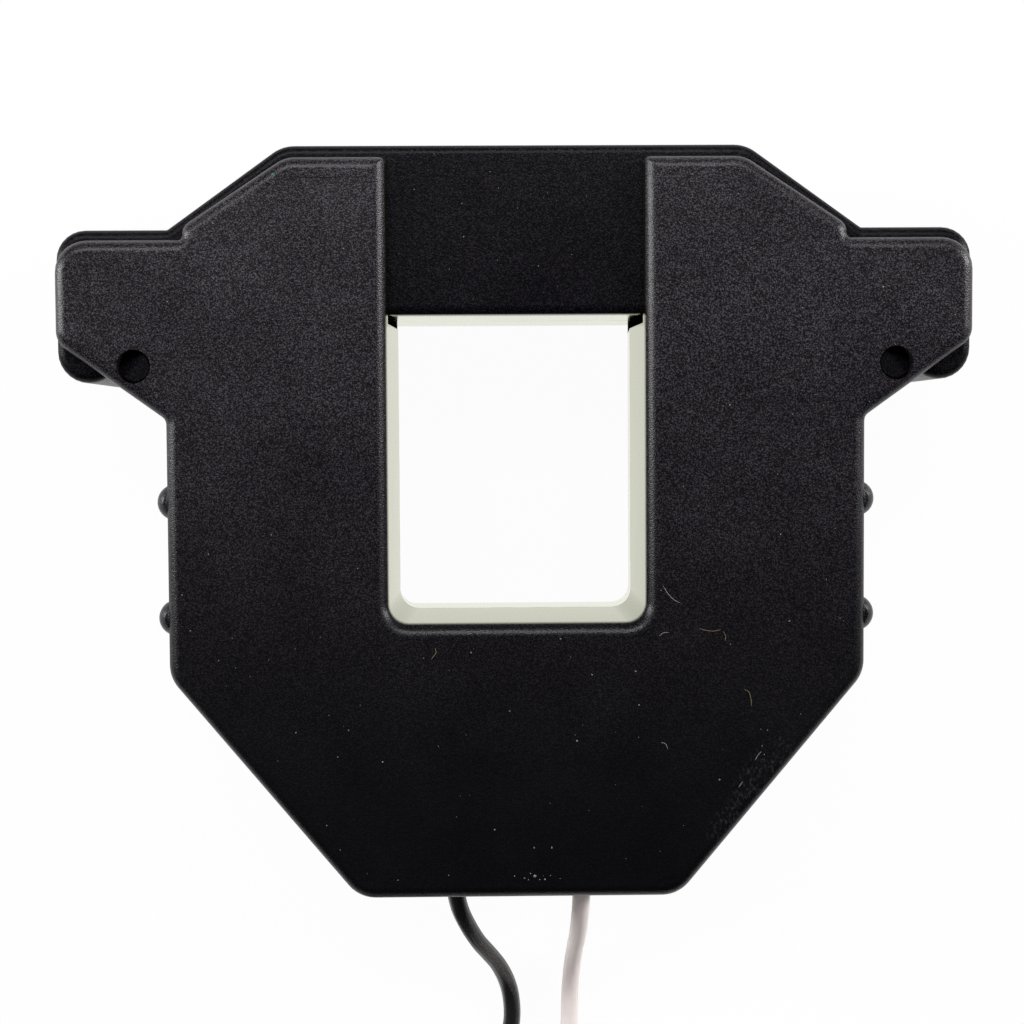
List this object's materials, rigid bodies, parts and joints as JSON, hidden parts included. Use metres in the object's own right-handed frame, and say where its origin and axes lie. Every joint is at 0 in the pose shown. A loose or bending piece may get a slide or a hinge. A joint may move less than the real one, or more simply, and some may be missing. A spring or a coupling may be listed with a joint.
{
  "type": "current transformer",
  "caption": "Split-core current transformer: a U-shaped moulded housing with ear plates, an opening leg on snap-in pins, and a two-wire output lead.",
  "frame": {"origin": "centre of the housing and leg seen from the front, in the plane of the rear face that it lies on", "axes": "+X across the ears, +Y from the lead exits towards the opening leg, +Z from the rear face to the front face, along the window"},
  "size_m": [0.1204, 0.1701, 0.03],
  "materials": {
    "housing_plastic": "fine spark-textured moulding",
    "leg_plastic": "fine spark-textured moulding",
    "core_steel": "ground strip edges",
    "bobbin_plastic": "plain moulded",
    "tape": "smooth film",
    "copper_wire": "enamelled",
    "foam": "plain foam",
    "board": "solder mask",
    "resistor_body": "lacquered",
    "diode_body": "plain moulded",
    "tinned_metal": "tinned",
    "dark_lead": "smooth flexible insulation",
    "pale_lead": "smooth flexible insulation",
    "tie_plastic": "plain strip",
    "spring_steel": "rolled strip"
  },
  "bodies": {
    "body": {"front_shell": "housing_plastic", "rear_shell": "housing_plastic", "core_u": "core_steel", "bobbin_left": "bobbin_plastic", "bobbin_right": "bobbin_plastic", "winding_left": "copper_wire", "winding_right": "copper_wire", "winding_tape_left": "tape", "winding_tape_right": "tape", "core_pad_front": "foam", "core_pad_rear": "foam", "circuit_board": "board", "burden_resistor": "resistor_body", "clamp_diodes": "diode_body", "solder_posts": "tinned_metal", "winding_leads": "copper_wire", "lead_tail_dark": "dark_lead", "lead_tail_pale": "pale_lead", "lead_dark": "dark_lead", "lead_pale": "pale_lead", "coil_dark": "dark_lead", "coil_pale": "pale_lead", "tie_dark": "tie_plastic", "tie_pale": "tie_plastic", "strands_dark": "tinned_metal", "strands_pale": "tinned_metal"},
    "leg": {"leg_front_shell": "leg_plastic", "leg_rear_shell": "leg_plastic", "core_bar": "core_steel", "leaf_spring": "spring_steel"}
  },
  "joints": [
    {"name": "leg_hinge", "type": "hinge", "parent": "body", "child": "leg", "pos_m": [0.0495, 0.0206, 0.015], "axis": [0, 0, -1], "range_deg": [0, 95]}
  ]
}
